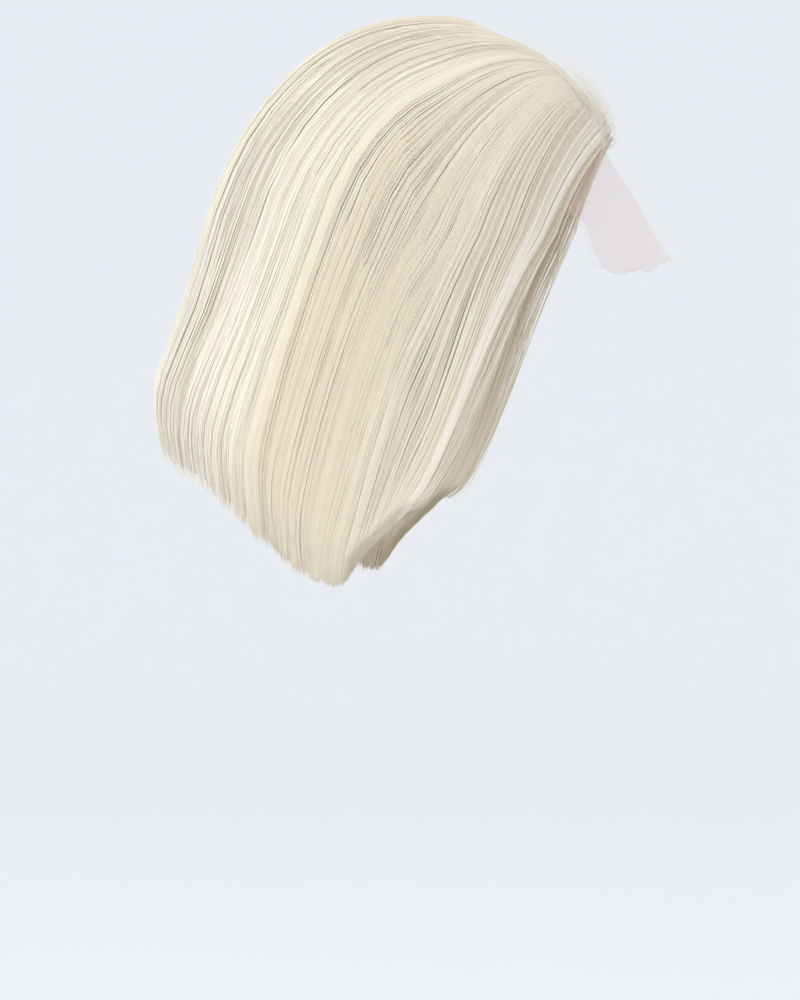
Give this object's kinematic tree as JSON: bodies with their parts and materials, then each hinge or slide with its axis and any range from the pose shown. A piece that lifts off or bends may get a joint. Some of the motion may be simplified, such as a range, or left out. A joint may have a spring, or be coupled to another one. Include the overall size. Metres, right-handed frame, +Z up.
{
  "type": "real hair wig",
  "caption": "Chin-length straight blonde bob wig swept back from a short parting, on a cap with a sheer untrimmed lace front.",
  "frame": {"origin": "highest point inside the cap, where the crown of a head sits", "axes": "+Z up as the wig is worn, the face opening looks along -Y, and the wearer's right side is at -X"},
  "size_m": [0.214, 0.281, 0.3036],
  "materials": {
    "hair": "silky straight strands with soft highlights",
    "front_lock": "silky bright strands",
    "cap_mesh": "matte stretch net",
    "lace": "sheer matte net"
  },
  "bodies": {
    "root": {"cap": "cap_mesh", "lace_front": "lace", "hair_right": "hair", "hair_left": "hair", "hair_back": "hair", "front_lock_right": "front_lock", "front_lock_left": "front_lock"}
  },
  "joints": []
}
